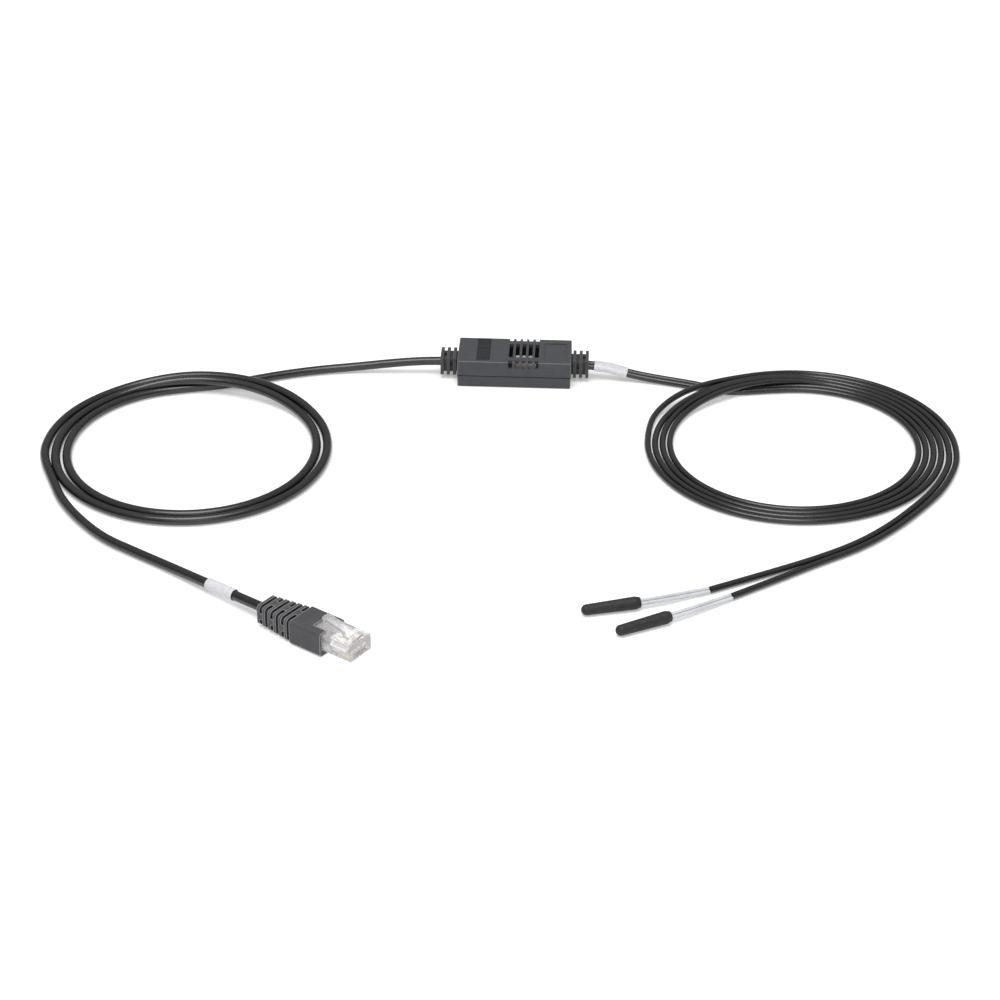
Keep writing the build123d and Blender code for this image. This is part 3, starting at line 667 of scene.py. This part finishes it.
orange_epoxy = material("orange_epoxy", (0.85, 0.46, 0.14), 0.35)
mottle(orange_epoxy, (0.78, 0.38, 0.09), (0.90, 0.58, 0.24), 0.001)
grain(orange_epoxy, 0.0004, 0.00002)

can_metal = material("can_metal", (0.90, 0.91, 0.91), 0.3)
can_metal.node_tree.nodes["Principled BSDF"].inputs["Metallic"].default_value = 0.3
mottle(can_metal, (0.84, 0.85, 0.85), (0.93, 0.94, 0.94), 0.0008)
uneven_gloss(can_metal, 0.22, 0.36, 0.0006)

resistor_glaze = material("resistor_glaze", (0.02, 0.02, 0.025), 0.3)
mottle(resistor_glaze, (0.015, 0.015, 0.02), (0.03, 0.03, 0.035), 0.0005)

core_sheath = material("core_sheath", (0.72, 0.66, 0.58), 0.35)
mottle(core_sheath, (0.60, 0.48, 0.36), (0.80, 0.78, 0.74), 0.0016, 0.42, 0.58)


def dress(made, *names):
    """Give CAD nodes a material in every slot."""
    for name in names:
        mesh = node(name).data
        mesh.materials.clear()
        mesh.materials.append(made)


dress(case_plastic, "upper_shell", "lower_shell")
dress(relief_rubber, "network_relief", "probe_relief")
dress(boot_rubber, "plug_boot")
dress(clear_plastic, "plug_body")
dress(gold_plate, "plug_contacts")
dress(core_sheath, "plug_conductors", "network_wires", "probe_wires")
dress(twin_sheath, "rear_twin_lead", "front_twin_lead")
dress(cap_rubber, "rear_probe_cap", "front_probe_cap")
dress(bead_glaze, "rear_thermistor", "front_thermistor")
dress(board_painted_shade, "circuit_board")
dress(chip_epoxy, "controller_chip")
dress(white_nylon, "ambient_sensor", "network_header", "probe_header")
dress(orange_epoxy, "tantalum_capacitors")
dress(can_metal, "filter_capacitors")
dress(resistor_glaze, "chip_resistors")
for piece in (network_cable, rear_cable, front_cable):
    piece.data.materials.append(cable_jacket)
for piece in (network_label, pair_label):
    piece.data.materials.append(label_film)
grip_insert.data.materials.append(grip_plastic)
node("plug_body").visible_shadow = False


# Stage and light
def area_light(name, place, target, size, power):
    """A soft square light aimed at a point."""
    lamp = bpy.data.lights.new(name, "AREA")
    lamp.shape = "SQUARE"
    lamp.size = size
    lamp.energy = power
    holder = bpy.data.objects.new(name, lamp)
    holder.location = place
    aim = Vector(target) - Vector(place)
    holder.rotation_euler = aim.to_track_quat("-Z", "Y").to_euler()
    scene.collection.objects.link(holder)
    return holder


def seen_strength(tree, lit, seen):
    """A strength for rays that light the object, and another for rays that see the background."""
    path = tree.nodes.new("ShaderNodeLightPath")
    total = path.outputs["Is Camera Ray"]
    for name in ("Is Glossy Ray", "Is Transmission Ray"):
        either = tree.nodes.new("ShaderNodeMath")
        either.operation = "MAXIMUM"
        tree.links.new(total, either.inputs[0])
        tree.links.new(path.outputs[name], either.inputs[1])
        total = either.outputs["Value"]
    span = tree.nodes.new("ShaderNodeMapRange")
    span.inputs["To Min"].default_value = lit
    span.inputs["To Max"].default_value = seen
    tree.links.new(total, span.inputs["Value"])
    return span.outputs["Result"]


area_light("top_light", (-0.1, -0.45, 1.3), (0.0, -0.08, 0.0), 0.9, 13.0)
area_light("front_light", (0.1, -1.5, 0.55), (0.0, -0.08, 0.0), 1.0, 3.5)

world = bpy.data.worlds.new("studio")
world.use_nodes = True
sky = world.node_tree.nodes["Background"]
sky.inputs["Color"].default_value = (1.0, 1.0, 1.0, 1.0)
aim = world.node_tree.nodes.new("ShaderNodeTexCoord")
parts = world.node_tree.nodes.new("ShaderNodeSeparateXYZ")
fade = world.node_tree.nodes.new("ShaderNodeMapRange")
fade.inputs["To Min"].default_value = 0.2
fade.inputs["To Max"].default_value = 0.7
world.node_tree.links.new(aim.outputs["Generated"], parts.inputs["Vector"])
world.node_tree.links.new(parts.outputs["Z"], fade.inputs["Value"])
world.node_tree.links.new(fade.outputs["Result"], sky.inputs["Strength"])
scene.world = world
scene.view_settings.view_transform = "Standard"

FLOOR_REACH = 6.0
FLOOR_DROP = 0.0002
floor_corners = [
    (-FLOOR_REACH, -FLOOR_REACH, 0.0),
    (FLOOR_REACH, -FLOOR_REACH, 0.0),
    (FLOOR_REACH, FLOOR_REACH, 0.0),
    (-FLOOR_REACH, FLOOR_REACH, 0.0),
]
floor_mesh = bpy.data.meshes.new("floor")
floor_mesh.from_pydata(floor_corners, [], [(0, 1, 2, 3)])
floor = bpy.data.objects.new("floor", floor_mesh)
floor.location = (0.0, 0.0, -FLOOR_DROP)
scene.collection.objects.link(floor)
floor_paint = material("floor_paint", (0.85, 0.85, 0.85), 0.6, 0.1)
grain(floor_paint, 0.002, 0.00002, 0.2)
floor_shader = floor_paint.node_tree.nodes["Principled BSDF"]
floor_shader.inputs["Emission Color"].default_value = (1.0, 1.0, 1.0, 1.0)
floor_glow = seen_strength(floor_paint.node_tree, 0.0, 0.3)
floor_paint.node_tree.links.new(floor_glow, floor_shader.inputs["Emission Strength"])
floor_mesh.materials.append(floor_paint)

bpy.context.view_layer.update()
